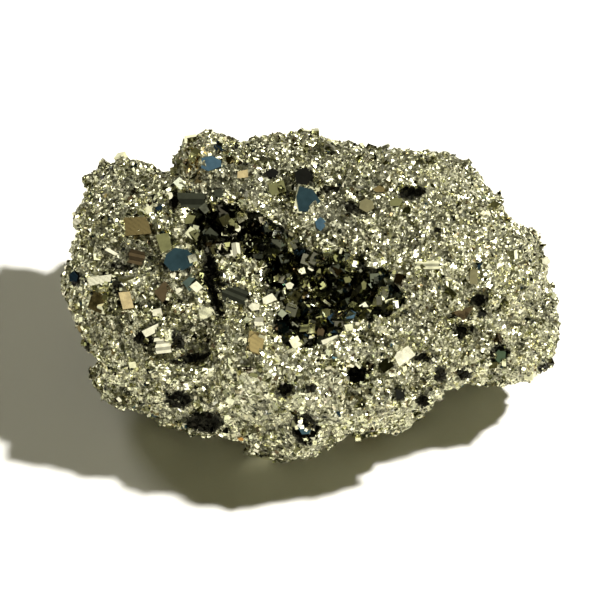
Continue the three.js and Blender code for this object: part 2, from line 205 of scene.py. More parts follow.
def paint_shade(tones, places, outward, pit_light_under_painted_shade, dullness):
    """Paints shade into the tones in the pits and creases, and makes them duller there."""
    in_open = light_under_painted_shade(places, outward)
    tones[:, :3] *= (pit_light_under_painted_shade + (1 - pit_light_under_painted_shade) * in_open)[:, None]
    tones[:, 3] += dullness * (1 - in_open)


def mark_crystal_faces(surface, clean_share_shown, clean_share):
    """Numbers the clean flat faces. They have a square corner, as only a crystal's have."""
    number = surface.faces.layers.int.new("crystal")
    found = []
    for face in surface.faces:
        square = any(abs(loop.calc_angle() - math.pi / 2) < RIGHT_ANGLE_SLACK
                     for loop in face.loops)
        if len(face.verts) > 3 and square and face.calc_area() > SMALLEST_FACE:
            shown_side = face.normal.dot(SHOW_OUT) > SHOWN_SIDE
            share = clean_share_shown if shown_side else clean_share
            if random.random() < share:
                found.append((face.calc_center_median(), math.sqrt(face.calc_area())))
                face[number] = len(found)
    return found


def refine(surface, edge):
    """Cuts every edge in half until none is longer than this."""
    for _ in range(MOST_CUTS):
        too_long = [e for e in surface.edges if e.calc_length() > edge]
        if not too_long:
            break
        bmesh.ops.subdivide_edges(surface, edges=too_long, cuts=1)
        bmesh.ops.triangulate(surface, faces=surface.faces)
    surface.normal_update()


def roughen(surface, amount):
    """Breaks the skin between the crystal faces into round knobs with sharp creases."""
    number = surface.faces.layers.int["crystal"]
    moves = []
    for vert in surface.verts:
        if any(face[number] for face in vert.link_faces):
            continue
        place = vert.co / MM
        if vert.co.z < REST_HEIGHT:
            fleck = abs(noise.cell(place * REST_FLECKS_PER_MM))
            moves.append((vert, Vector((0, 0, REST_FLECK_HEIGHT * fleck))))
        else:
            evened = 1 - FLAKY_EVENED * flaky(*on_show_face(vert.co))
            fleck = FLECK_HEIGHT * noise.cell(place * FLECKS_PER_MM)
            depth = amount * evened * (knobs(place) - MIDDLE_HEIGHT + fleck)
            moves.append((vert, vert.normal * min(depth, FURTHEST_OUT) * MM))
    for vert, move in moves:
        vert.co += move
    surface.normal_update()


def jittered(colour, spread):
    """A colour a little lighter or darker than the given one."""
    light = math.exp(random.normal(0, spread))
    return tuple(min(part * light, PALEST) for part in colour)


def face_tones(found, common, shares):
    """The colour of each crystal face, with its roughness, the first for the skin itself."""
    tones = [(*common[0], SKIN_ROUGHNESS)]
    for _ in found:
        colour = common[random.choice(len(common), p=shares)]
        tones.append((*jittered(colour, FACE_LIGHT_SPREAD), random.uniform(*FACE_ROUGHNESS)))
    return np.array(tones)


def finished(name, surface, tones, pit_light_under_painted_shade=PIT_LIGHT_UNDER_PAINTED_SHADE):
    """Makes the surface a mesh object whose corners hold the colour of their face, with painted
    shade in the pits.
    """
    number = surface.faces.layers.int["crystal"]
    mesh = bpy.data.meshes.new(name)
    chosen = np.array([face[number] for face in surface.faces])
    places = np.array([face.calc_center_median()[:] for face in surface.faces])
    outward = np.array([face.normal[:] for face in surface.faces])
    surface.to_mesh(mesh)
    surface.free()
    mesh.shade_flat()
    corner_tone = mesh.attributes.new("tone", "FLOAT_COLOR", "CORNER")
    counts = np.empty(len(mesh.polygons), np.int32)
    mesh.polygons.foreach_get("loop_total", counts)
    shown = tones[chosen]
    paint_shade(shown, places, outward, pit_light_under_painted_shade, (1 - pit_light_under_painted_shade) * PIT_DULLNESS)
    corner_tone.data.foreach_set("color", np.repeat(shown, counts, axis=0).ravel())
    crystal = mesh.attributes.new("crystal_face", "FLOAT", "CORNER")
    crystal.data.foreach_set("value", np.repeat(chosen.astype(float), counts))
    piece = bpy.data.objects.new(name, mesh)
    bpy.context.scene.collection.objects.link(piece)
    return piece


mass_surface = tidy_copy("pyrite_mass")
mass_faces = mark_crystal_faces(mass_surface, CLEAN_SHARE_SHOWN, CLEAN_SHARE)
refine(mass_surface, SKIN_EDGE)
roughen(mass_surface, SKIN_KNOBS)
mass = finished("pyrite_body", mass_surface, face_tones(mass_faces, FACE_COLOURS, FACE_SHARES))


class Socket:
    """One output of a node, on which the usual signs add Math nodes."""

    def __init__(self, tree, output):
        self.tree = tree
        self.output = output

    def maths(self, operation, other, swapped=False):
        pair = (other, self) if swapped else (self, other)
        return self.tree.node("ShaderNodeMath", {"operation": operation}, {0: pair[0], 1: pair[1]})

    def __add__(self, other):
        return self.maths("ADD", other)

    def __radd__(self, other):
        return self.maths("ADD", other, True)

    def __sub__(self, other):
        return self.maths("SUBTRACT", other)

    def __rsub__(self, other):
        return self.maths("SUBTRACT", other, True)

    def __mul__(self, other):
        return self.maths("MULTIPLY", other)

    def __rmul__(self, other):
        return self.maths("MULTIPLY", other, True)


class Finish:
    """A material, whose nodes are all made by its one method."""

    def __init__(self, name):
        self.material = bpy.data.materials.new(name)
        self.material.use_nodes = True
        self.nodes = self.material.node_tree.nodes
        self.links = self.material.node_tree.links
        self.shader = self.nodes["Principled BSDF"]

    def node(self, kind, settings=None, inputs=None, output=0):
        made = self.nodes.new(kind)
        for name, value in (settings or {}).items():
            setattr(made, name, value)
        for name, value in (inputs or {}).items():
            self.feed(made.inputs[name], value)
        return Socket(self, made.outputs[output])

    def feed(self, socket, value):
        if isinstance(value, Socket):
            self.links.new(value.output, socket)
        else:
            socket.default_value = value


# The mosaic of small flat grains on the skin, with painted shade in the seams between them, and the
# lines on the larger faces
GRAINS_PER_METRE = 2300.0
GRAIN_TILT = 0.80
SEAM_BEND = 0.5 * MM
LINE_HEIGHT = 0.08
LINE_DEPTH = 0.05 * MM
BLOOM_ROUGHNESS = 0.18


def pyrite(name, mosaic):
    """Pyrite, whose colour and roughness come with each face, with or without the mosaic."""
    finish = Finish(name)
    tone = finish.node("ShaderNodeAttribute", {"attribute_name": "tone"}, output="Color")
    gloss = finish.node("ShaderNodeAttribute", {"attribute_name": "tone"}, output="Alpha")
    place = finish.node("ShaderNodeTexCoord", output="Object")
    bloom = finish.node("ShaderNodeTexNoise", {}, {
        "Vector": place, "Scale": 900.0, "Detail": 3.0, "Roughness": 0.6}, output="Fac")
    shade = finish.node("ShaderNodeMapRange", {}, {
        "Value": bloom, "From Min": 0.3, "From Max": 0.7, "To Min": 0.76, "To Max": 1.12})
    if mosaic:
        on_face = finish.node("ShaderNodeAttribute", {"attribute_name": "crystal_face"},
                              output="Fac")
        skin = 1.0 - on_face.maths("GREATER_THAN", 0.5)
        bend = finish.node("ShaderNodeTexNoise", {}, {
            "Vector": place, "Scale": 1500.0, "Detail": 2.0}, output="Color")
        bend = finish.node("ShaderNodeVectorMath", {"operation": "SUBTRACT"}, {
            0: bend, 1: (0.5, 0.5, 0.5)})
        bent = finish.node("ShaderNodeVectorMath", {"operation": "MULTIPLY_ADD"}, {
            0: bend, 1: (SEAM_BEND,) * 3, 2: place})
        grain = finish.node("ShaderNodeTexVoronoi", {"feature": "F1"}, {
            "Vector": bent, "Scale": GRAINS_PER_METRE}, output="Color")
        seam = finish.node("ShaderNodeTexVoronoi", {"feature": "DISTANCE_TO_EDGE"}, {
            "Vector": bent, "Scale": GRAINS_PER_METRE}, output="Distance")
        parts = finish.node("ShaderNodeSeparateColor", {}, {"Color": grain}, output="Red")
        each = finish.node("ShaderNodeMapRange", {}, {
            "Value": parts, "From Min": 0.0, "From Max": 1.0, "To Min": 0.45, "To Max": 1.25})
        # Painted shade in the seams between the mosaic's grains
        gap = finish.node("ShaderNodeMapRange", {}, {
            "Value": seam, "From Min": 0.0, "From Max": 0.09, "To Min": 0.12, "To Max": 1.0})
        shade = shade * (1.0 - skin * (1.0 - each * gap))
    colour = finish.node("ShaderNodeVectorMath", {"operation": "SCALE"}, {0: tone, "Scale": shade})
    finish.feed(finish.shader.inputs["Base Color"], colour)
    finish.feed(finish.shader.inputs["Roughness"], gloss + (bloom - 0.5) * BLOOM_ROUGHNESS)
    finish.feed(finish.shader.inputs["Metallic"], 1.0)
    if mosaic:
        facing = finish.node("ShaderNodeTexCoord", output="Normal")
        tipped = finish.node("ShaderNodeVectorMath", {"operation": "SUBTRACT"}, {
            0: grain, 1: (0.5, 0.5, 0.5)})
        tipped = finish.node("ShaderNodeVectorMath", {"operation": "SCALE"}, {
            0: tipped, "Scale": skin * GRAIN_TILT})
        tipped = finish.node("ShaderNodeVectorMath", {"operation": "ADD"}, {0: tipped, 1: facing})
        tipped = finish.node("ShaderNodeVectorMath", {"operation": "NORMALIZE"}, {0: tipped})
        lines = finish.node("ShaderNodeTexWave", {"bands_direction": "DIAGONAL"}, {
            "Vector": place, "Scale": 620.0, "Distortion": 2.5, "Detail": 2.0,
            "Detail Scale": 1.4}, output="Fac")
        bump = finish.node("ShaderNodeBump", {}, {
            "Strength": 0.5, "Distance": LINE_DEPTH, "Normal": tipped,
            "Height": lines * (1.0 - skin) * LINE_HEIGHT}, output="Normal")
        finish.feed(finish.shader.inputs["Normal"], bump)
    return finish.material


mass.data.materials.append(pyrite("pyrite_body_finish", True))
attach(mass, "root")
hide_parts("pyrite_mass")


# The crust in the hollow: larger crystals that grew into the open space, joined to each other and
# to the wall. They are pyrite too, bright only where they catch the light. Their darker colours are
# partly tarnish and partly painted shade of the hollow.
CRUST_CLEAN_SHARE = 0.6
CRUST_EDGE = 0.7 * MM
CRUST_KNOBS = 0.25
CRUST_SKIN = (0.050, 0.050, 0.034)
CRUST_COLOURS = [CRUST_SKIN, OLIVE, BROWN, SMOKE, NIGHT_BLUE]
CRUST_SHARES = [0.0, 0.20, 0.10, 0.62, 0.08]

crust_surface = tidy_copy("hollow_crystals")
crust_faces = mark_crystal_faces(crust_surface, CRUST_CLEAN_SHARE, CRUST_CLEAN_SHARE)
refine(crust_surface, CRUST_EDGE)
roughen(crust_surface, CRUST_KNOBS)
crust = finished("hollow_lining", crust_surface,
                 face_tones(crust_faces, CRUST_COLOURS, CRUST_SHARES))
crust.data.materials.append(pyrite("hollow_lining_finish", True))
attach(crust, "root")
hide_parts("hollow_crystals")


# The larger crystals that show one flat face to the front. Each is a cube or block of pyrite grown
# into the mass, and the tint of its face is a painted reflection of what that face mirrors.
BLUE_GREY = (0.050, 0.095, 0.125)
TEAL = (0.060, 0.085, 0.070)
KHAKI = (0.18, 0.165, 0.085)
CREAM_TAN = (0.43, 0.35, 0.18)
AMBER = (0.36, 0.19, 0.05)
# x, y, width, height, corners, turn, look right and up in degrees, steps, colour
SHOWN_CRYSTALS = [
    (-25.4, 10.1, 3.5, 2.5, 4, 6, -6, 4, 1, TAN), (-21.5, 7.6, 1.8, 2.6, 4, 12, 6, 2, 1, OLIVE),
    (-19.2, 5.2, 3.7, 3.4, 8, 10, 0, 4, 1, BLUE), (-14.9, 19.4, 3.1, 2.1, 6, 0, 4, 2, 1, BLUE_GREY),
    (-13.7, 21.9, 1.4, 1.5, 5, 20, -4, 6, 1, NIGHT_BLUE),
    (-1.3, 17.1, 3.0, 2.7, 5, 54, 0, 8, 1, BLACK), (-0.9, 14.0, 3.3, 3.8, 6, 20, 4, 2, 1, BLUE),
    (-5.1, 15.8, 2.3, 1.8, 4, 10, -6, 2, 1, OLIVE), (-5.9, 17.9, 1.7, 1.4, 5, 0, 4, 6, 1, BLACK),
    (-17.4, 13.7, 3.8, 2.6, 6, 0, -4, 0, 3, SMOKE), (-18.3, 11.1, 2.5, 1.5, 5, 8, -2, 6, 1, OLIVE),
    (-30.8, 2.3, 3.8, 1.1, 4, 10, -6, 2, 1, CREAM), (-31.2, -1.0, 1.9, 2.7, 4, -20, -8, 2, 1, TAN),
    (-26.9, -0.6, 1.7, 2.5, 4, 10, 4, -2, 1, CREAM_TAN),
    (-21.5, 0.5, 2.2, 2.0, 4, 40, -4, 2, 1, BROWN), (-23.4, -5.0, 2.4, 1.1, 4, 25, 4, 0, 1, CREAM),
    (-22.4, -2.4, 1.3, 1.0, 4, 10, 0, 0, 1, CREAM), (-21.6, -7.2, 2.3, 2.3, 4, 6, 2, 2, 5, CREAM),
    (-19.2, 0.7, 1.1, 1.0, 5, 0, 0, 0, 1, CREAM), (-20.1, 3.0, 0.9, 1.1, 5, 0, 0, 0, 1, CREAM),
    (-25.5, 5.6, 2.2, 2.0, 4, -12, 0, 2, 4, BROWN), (-8.3, -6.8, 1.8, 2.8, 5, 0, 2, -4, 1, TAN),
    (13.1, -8.5, 2.7, 1.8, 4, 30, 4, -2, 1, CREAM), (27.3, -8.8, 1.9, 2.0, 5, 10, 6, 2, 1, GREEN),
    (-1.0, -19.2, 1.9, 1.7, 5, 0, 0, -4, 1, BLUE),
    (-34.9, 2.7, 1.3, 1.7, 5, 0, -6, 2, 1, NIGHT_BLUE),
    (-10.4, -20.9, 0.9, 0.5, 5, 0, 0, 0, 1, AMBER), (-20.9, 14.6, 1.0, 1.0, 8, 0, 2, 4, 1, CREAM),
    (-23.7, 12.5, 1.1, 1.3, 6, 0, -4, 2, 1, PALE),
    (-22.3, 12.8, 1.2, 1.0, 5, 20, 4, 2, 1, NIGHT_BLUE),
    (-10.2, 17.8, 1.5, 1.1, 4, 10, 4, 2, 1, CREAM_TAN),
    (-34.6, 11.0, 1.2, 1.0, 6, 0, -6, 2, 1, CREAM), (-17.4, 1.7, 2.7, 2.2, 5, 15, 0, 2, 1, TEAL),
    (-29.2, 6.4, 1.8, 0.5, 4, -30, 0, 2, 1, CREAM), (-13.6, 15.0, 1.5, 1.2, 5, 0, 6, 2, 1, SMOKE),
    (-11.7, 10.7, 0.9, 1.1, 5, 0, 0, 0, 1, OLIVE), (-10.8, 9.8, 0.9, 0.9, 6, 0, 0, 0, 1, CREAM),
    (-9.9, 8.8, 0.8, 0.9, 6, 0, 0, 0, 1, OLIVE), (-0.1, 4.2, 1.1, 1.0, 6, 0, 0, 0, 1, CREAM),
    (-3.3, 1.5, 1.2, 1.0, 5, 0, 0, 0, 1, CREAM), (-2.2, 5.0, 0.8, 0.6, 5, 0, 0, 0, 1, CREAM),
    (3.1, 5.0, 0.9, 0.6, 4, 20, 0, 0, 1, CREAM), (5.2, 2.4, 1.1, 1.0, 5, 0, 0, 0, 1, OLIVE),
    (7.6, 1.6, 1.1, 1.4, 5, 0, 0, 0, 1, OLIVE), (5.5, -2.7, 1.5, 1.3, 5, 0, 0, 0, 1, BLUE_GREY),
    (8.4, -1.9, 0.8, 0.8, 6, 0, 24.6, 18.1, 1, CREAM),
    (-12.1, 6.5, 2.0, 3.4, 4, 98, 0, 4, 6, CREAM), (-11.3, 0.1, 3.5, 2.4, 4, -22, 0, 2, 5, SMOKE),
    (-6.3, -0.4, 1.8, 1.1, 4, 25, 0, 0, 1, CREAM), (-8.4, -1.6, 1.7, 1.1, 5, 10, 0, 0, 1, CREAM),
    (-7.7, -3.7, 1.2, 1.2, 5, 0, 0, 0, 2, CREAM), (-0.6, -4.6, 2.3, 1.0, 4, 4, 0, 0, 3, OLIVE),
    (0.1, -6.1, 1.3, 1.0, 4, -20, 0, 0, 1, CREAM), (1.2, -5.2, 1.2, 1.7, 5, 0, 0, 0, 1, BROWN),
    (2.6, -6.3, 2.2, 0.7, 4, 18, 0, 0, 1, CREAM), (5.3, -4.5, 1.2, 0.9, 4, 10, 0, 0, 1, PALE),
    (12.0, 13.4, 2.0, 1.3, 5, 0, 2, 6, 1, OLIVE), (7.9, 13.1, 2.2, 1.8, 6, 0, 2, 4, 1, KHAKI),
    (9.7, 15.3, 1.7, 1.0, 5, 0, 2, 8, 1, TAN), (16.5, 4.4, 3.6, 1.2, 4, 0, 4, 4, 3, PALE),
    (23.2, 2.8, 1.2, 2.1, 4, 0, 6, 2, 1, KHAKI), (1.2, 10.4, 1.5, 1.8, 6, 0, 0, 4, 1, BLUE_GREY),
    (34.4, 5.1, 1.2, 1.1, 6, 0, 6, 4, 1, CREAM),
]
# Their depth in mm, how far the flat faces stand out of what they are grown into, and how
# uneven and how much wider at the foot they are
SHOWN_DEPTH = 1.9
SHOWN_RISE = 0.12 * MM
LARGEST_RISE = 1.1 * MM
HOLLOW_RISE = 0.8 * MM
STEP_RISE = 0.10 * MM
# How light painted shade leaves every second step of a lined face
GROOVE_LIGHT_UNDER_PAINTED_SHADE = 0.45
CORNER_REACH = 0.42
CORNER_JITTER = 0.09
FOOT_SPREAD = 1.15
ROUND_SPREAD = 1.08
SHOWN_LIGHT_SPREAD = 0.03
SHOWN_ROUGHNESS = (0.08, 0.16)
IN_FRONT = 60


def first_hit(x, y):
    """The surface seen at this place on the show face, and whether it is the crust."""
    start = SHOW_FACE_MIDDLE + (SHOW_RIGHT * x + SHOW_UP * y + SHOW_OUT * IN_FRONT) * MM
    hits = [tree.ray_cast(start, -SHOW_OUT) for tree in (mass_tree, crust_tree)]
    in_hollow = (hits[1][3] or 1) < (hits[0][3] or 1)
    hits = [hit for hit in hits if hit[0] is not None]
    return min(hits, key=lambda hit: hit[3])[0] if hits else None, in_hollow


def rise_over(hit, normal, turned, width, height):
    """How far a flat face must stand out here for none of its corners to be buried."""
    highest = 0.0
    for a, b in ((-1, -1), (-1, 1), (1, -1), (1, 1)):
        corner = hit + turned @ Vector((a * width, b * height, 0)) * CORNER_REACH * MM
        below, _ = first_hit(*on_show_face(corner))
        if below is not None:
            highest = max(highest, (below - hit).dot(normal))
    return SHOWN_RISE + min(highest, LARGEST_RISE)


def add_prism(surface, corner_count, width, height, depth, turned, top):
    """A flat-topped prism whose top has its middle at this point; returns its corners."""
    made = bmesh.ops.create_cone(surface, cap_ends=True, segments=corner_count, radius1=0.5,
                                 radius2=0.5, depth=1.0)["verts"]
    spread = math.sqrt(2) if corner_count == 4 else ROUND_SPREAD
    shifts = {}
    for vert in made:
        angle = math.atan2(vert.co.y, vert.co.x) + (math.pi / 4 if corner_count == 4 else 0)
        key = round(math.degrees(angle)) % 360
        if key not in shifts:
            shifts[key] = random.uniform(-1, 1, 2) * CORNER_JITTER
        x = (math.cos(angle) * 0.5 * spread + shifts[key][0]) * width
        y = (math.sin(angle) * 0.5 * spread + shifts[key][1]) * height
        grow = 1.0 if vert.co.z > 0 else FOOT_SPREAD
        vert.co = top + turned @ Vector((x * grow, y * grow, (vert.co.z - 0.5) * depth))
    return made


mass_tree = BVHTree.FromObject(mass, bpy.context.evaluated_depsgraph_get())
crust_tree = BVHTree.FromObject(crust, bpy.context.evaluated_depsgraph_get())
shown_surface = bmesh.new()
shown_number = shown_surface.faces.layers.int.new("crystal")
shown_tones = [(*PALE, SKIN_ROUGHNESS)]
for x, y, width, height, corner_count, turn, look_right, look_up, steps, colour in SHOWN_CRYSTALS:
    hit, in_hollow = first_hit(x, y)
    if hit is None:
        continue
    normal = (SHOW_OUT + SHOW_RIGHT * math.tan(math.radians(look_right))
              + SHOW_UP * math.tan(math.radians(look_up))).normalized()
    across = (SHOW_RIGHT - normal * normal.dot(SHOW_RIGHT)).normalized()
    turned = Matrix((across, normal.cross(across), normal)).transposed()
    turned = turned @ Matrix.Rotation(math.radians(turn), 3, "Z")
    rise = HOLLOW_RISE if in_hollow else rise_over(hit, normal, turned, width, height)
    for step in range(steps):
        middle = hit + normal * (rise + STEP_RISE * (step % 2))
        middle += turned @ Vector((0, ((step + 0.5) / steps - 0.5) * height * MM, 0))
        verts = add_prism(shown_surface, corner_count if steps == 1 else 4, width * MM,
                          height * MM / steps, SHOWN_DEPTH * MM * min(1.0, height), turned,
                          middle)
        made = {face for vert in verts for face in vert.link_faces}
        # Every second step is given painted shade
        light = 1.0 if step % 2 == 0 else GROOVE_LIGHT_UNDER_PAINTED_SHADE
        shown_tones.append((*(part * light for part in jittered(colour, SHOWN_LIGHT_SPREAD)),
                            random.uniform(*SHOWN_ROUGHNESS)))
        for face in made:
            face[shown_number] = len(shown_tones) - 1
shown_surface.normal_update()
shown = finished("shown_crystals", shown_surface, np.array(shown_tones), 1.0)
shown.data.materials.append(mass.data.materials[0])
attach(shown, "root")


# The grains of the skin: tens of thousands of pyrite crystals under a millimetre, cubes, blocks
# and corners of cubes. They grew into each other, so each is sunk in the skin, lies nearly flat
# on it and shows its upper faces.

# Forms: sides and depth in the skin as shares of a grain's size. A corner is that of a cube with
# a side of 1, cut off through the diagonals of its faces.
BLOCK_SIDES = ((0.8, 1.6), (0.6, 1.1), (0.5, 0.8))
BLOCK_SUNK = (0.2, 0.5)
CORNER_SIDES = (0.7, 1.3)
CORNER_FLATNESS = 0.7
CORNER_SUNK = (0.05, 0.25)
CORNER_RADIUS = 0.816
CORNER_HEIGHT = 0.577
GRAIN_SIZE_POWER = 1.8

# Finer grains at the top right, and larger and flatter ones on the flaky skin, made lighter there
# with painted reflection of the lit table
FINE_MIDDLE = (15, 15)
FINE_SPREAD = 220
FINE_SHARE = 0.25
FLAKY_SIZE = 0.25
FLAKY_PAINTED_LIGHT = 0.15
FLAKY_TILT_LOSS = 0.6

# Lighter and darker blotches of two sizes, and a rusty one near the top left
LARGE_BLOTCH = 6 * MM
SMALL_BLOTCH = 2 * MM
SMALL_BLOTCH_SHARE = 0.6
BLOTCH_CONTRAST = 0.7
BLOTCH_RANGE = (0.4, 1.3)
RUSTY_MIDDLE = (-17.3, 19.6)
RUSTY_SPREAD = 5
RUSTY_LOSS = (0.1, 0.4, 0.75)

# Grain tints from the palette above: pale brass with tarnish and painted reflection. Then how much
# they vary, their roughness, and how light painted shade leaves them in pits.
GRAIN_COLOURS = [PALE, CREAM, OLIVE, TAN, BLUE, BROWN, SMOKE]
GRAIN_SHARES = [0.60, 0.13, 0.13, 0.02, 0.01, 0.04, 0.07]
GRAIN_LIGHT_SPREAD = 0.24
GRAIN_TINT_SPREAD = 0.02
GRAIN_ROUGHNESS = (0.08, 0.28)
GRAIN_PIT_LIGHT_UNDER_PAINTED_SHADE = 0.03

# How far the grains keep from the crust, the clean faces and the table
GRAIN_GAP = 0.7 * MM
CLEAN_REACH = 0.66
CLEAN_WOBBLE = (0.9, 1.1)
SHOWN_REACH = 0.5
SHOWN_BACK = -0.2
POINTS_PER_GRAIN = 1.5
TABLE_GAP = 0.05 * MM
GRAIN_TABLE_SHARE = 0.9
REST_TOP = 0.5 * MM
REST_FACING = -0.7

# The part of its square of the UV map that each crystal takes up
CELL_LOW = 0.15
CELL_HIGH = 0.85


def triangles_of(piece):
    """Corners, normals and areas of a piece's triangles, and which lie on crystal faces."""
    mesh = piece.data
    mesh.calc_loop_triangles()
    verts = np.empty(3 * len(mesh.vertices), np.float32)
    mesh.vertices.foreach_get("co", verts)
    index = np.empty(3 * len(mesh.loop_triangles), np.int32)
    mesh.loop_triangles.foreach_get("vertices", index)
    loops = np.empty(3 * len(mesh.loop_triangles), np.int32)
    mesh.loop_triangles.foreach_get("loops", loops)
    flags = np.empty(len(mesh.loops), np.float32)
    mesh.attributes["crystal_face"].data.foreach_get("value", flags)
    corners = verts.reshape(-1, 3)[index.reshape(-1, 3)].astype(float)
    across = np.cross(corners[:, 1] - corners[:, 0], corners[:, 2] - corners[:, 0])
    size = np.linalg.norm(across, axis=1)
    normals = across / np.maximum(size, 1e-15)[:, None]
    return corners, normals, size / 2, np.rint(flags[loops.reshape(-1, 3)[:, 0]]).astype(int)


def scattered(corners, normals, areas, count):
    """Points spread evenly over the triangles, with the normal at each, and its triangle."""
    chosen = random.choice(len(areas), size=count, p=areas / areas.sum())
    a, b = random.random((2, count))
    flip = a + b > 1
    a[flip], b[flip] = 1 - a[flip], 1 - b[flip]
    first = corners[chosen, 0]
    along = corners[chosen, 1] - first
    across = corners[chosen, 2] - first
    return first + a[:, None] * along + b[:, None] * across, normals[chosen], chosen


def random_turns(count):
    """Rotation matrices, evenly spread over every turn."""
    w, x, y, z = (lambda q: (q / np.linalg.norm(q, axis=1, keepdims=True)).T)(
        random.normal(size=(count, 4)))
    return np.stack([
        1 - 2 * (y * y + z * z), 2 * (x * y - z * w), 2 * (x * z + y * w),
        2 * (x * y + z * w), 1 - 2 * (x * x + z * z), 2 * (y * z - x * w),
        2 * (x * z - y * w), 2 * (y * z + x * w), 1 - 2 * (x * x + y * y),
    ], axis=1).reshape(-1, 3, 3)


def template(make):
    """Vertices and faces of a small form that a bmesh operator makes."""
    form = bmesh.new()
    make(form)
    form.verts.ensure_lookup_table()
    verts = np.array([v.co[:] for v in form.verts])
    faces = np.array([[v.index for v in face.verts] for face in form.faces])
    form.free()
    return verts, faces


def block_form(form):
    bmesh.ops.create_cube(form, size=1.0)


def corner_form(form):
    bmesh.ops.create_cone(form, cap_ends=True, cap_tris=True, segments=3,
                          radius1=CORNER_RADIUS, radius2=0.0, depth=CORNER_HEIGHT)


BLOCK = template(block_form)
CORNER = template(corner_form)


def joined_crystals(name, form, places, turns, sides, tones):
    """One mesh of many crystals of the same form, each with its own patch of the UV map."""
    verts, faces = form
    count = len(places)
    shaped = np.einsum("nij,nvj->nvi", turns, verts[None] * sides[:, None, :]) + places[:, None, :]
    all_faces = faces[None] + (np.arange(count) * len(verts))[:, None, None]
    corners = faces.shape[1]
    mesh = bpy.data.meshes.new(name)
    mesh.vertices.add(count * len(verts))
    mesh.vertices.foreach_set("co", shaped.astype(np.float32).ravel())
    mesh.loops.add(all_faces.size)
    mesh.loops.foreach_set("vertex_index", all_faces.astype(np.int32).ravel())
    mesh.polygons.add(count * len(faces))
    mesh.polygons.foreach_set("loop_start", np.arange(0, all_faces.size, corners, dtype=np.int32))
    mesh.update(calc_edges=True)
    tone = mesh.attributes.new("tone", "FLOAT_COLOR", "CORNER")
    per_crystal = len(faces) * corners
    tone.data.foreach_set("color", np.repeat(tones, per_crystal, axis=0).ravel())
    across = math.ceil(math.sqrt(count))
    cell = np.stack([np.arange(count) % across, np.arange(count) // across], axis=1)
    square = np.array([(CELL_LOW, CELL_LOW), (CELL_HIGH, CELL_LOW), (CELL_HIGH, CELL_HIGH),
                       (CELL_LOW, CELL_HIGH)])[:corners]
    patch = (cell[:, None, None, :] + square[None, None]) / across
    uv = mesh.uv_layers.new(name="OFBake")
    uv.data.foreach_set("uv", np.broadcast_to(
        patch, (count, len(faces), corners, 2)).astype(np.float32).ravel())
    mesh.validate()
    mesh.shade_flat()
    piece = bpy.data.objects.new(name, mesh)
    bpy.context.scene.collection.objects.link(piece)
    return piece


def tones_for(count, colours, shares, spread, rough):
    """A colour and a roughness for each crystal."""
    chosen = np.array(colours)[random.choice(len(colours), size=count, p=shares)]
    light = np.exp(random.normal(0, spread, (count, 1)))
    tint = np.exp(random.normal(0, GRAIN_TINT_SPREAD, (count, 3)))
    return np.column_stack([np.minimum(chosen * light * tint, PALEST),
                            random.uniform(*rough, count)])


def clear_of_crust(places, gap):
    """False at the points that lie within this gap of the crust."""
    return np.array([crust_tree.find_nearest(Vector(p), gap)[0] is None for p in places])


def turned_out(outward, tilt):
    """Rotation matrices that turn +Z outward, tipped at random by up to about this much."""
    tipped = outward + tilt * random.normal(size=outward.shape)
    up = tipped / np.linalg.norm(tipped, axis=1, keepdims=True)
    side = np.cross(up, random.normal(size=outward.shape))
    side /= np.linalg.norm(side, axis=1, keepdims=True)
    return np.stack([side, np.cross(up, side), up], axis=2)


corners, normals, areas, crystal_number = triangles_of(mass)
resting = (corners[:, :, 2].max(axis=1) < REST_TOP) & (normals[:, 2] < REST_FACING)
open_skin = ~resting
face_centres = np.array([(0, 0, 0)] + [tuple(centre) for centre, _ in mass_faces])
face_widths = np.array([0] + [width for _, width in mass_faces])


def grown_over(places, numbers):
    """False in the clean middle of a crystal's face, so grains hide only its corners."""
    apart = np.linalg.norm(places - face_centres[numbers], axis=1)
    clean = CLEAN_REACH * face_widths[numbers] * random.uniform(*CLEAN_WOBBLE, len(places))
    return (numbers == 0) | (apart > clean)


def clear_of_shown(places, outward):
    """False on the flat faces that show to the front."""
    right, up = all_on_show_face(places)
    clear = np.ones(len(places), bool)
    for x, y, width, height, _, turn, *_ in SHOWN_CRYSTALS:
        across, along = turned_back(right, up, x, y, turn)
        clear &= np.hypot(across / width, along / height) > SHOWN_REACH
    return clear | (outward @ np.array(SHOW_OUT) < SHOWN_BACK)


def on_open_skin(count, gap):
    """Points and outward directions on the skin, clear of the crust and of clean faces."""
    places, outward, chosen = scattered(
        corners[open_skin], normals[open_skin], areas[open_skin], int(count * POINTS_PER_GRAIN))
    kept = grown_over(places, crystal_number[open_skin][chosen]) & clear_of_crust(places, gap)
    kept &= clear_of_shown(places, outward)
    return places[kept][:count], outward[kept][:count]


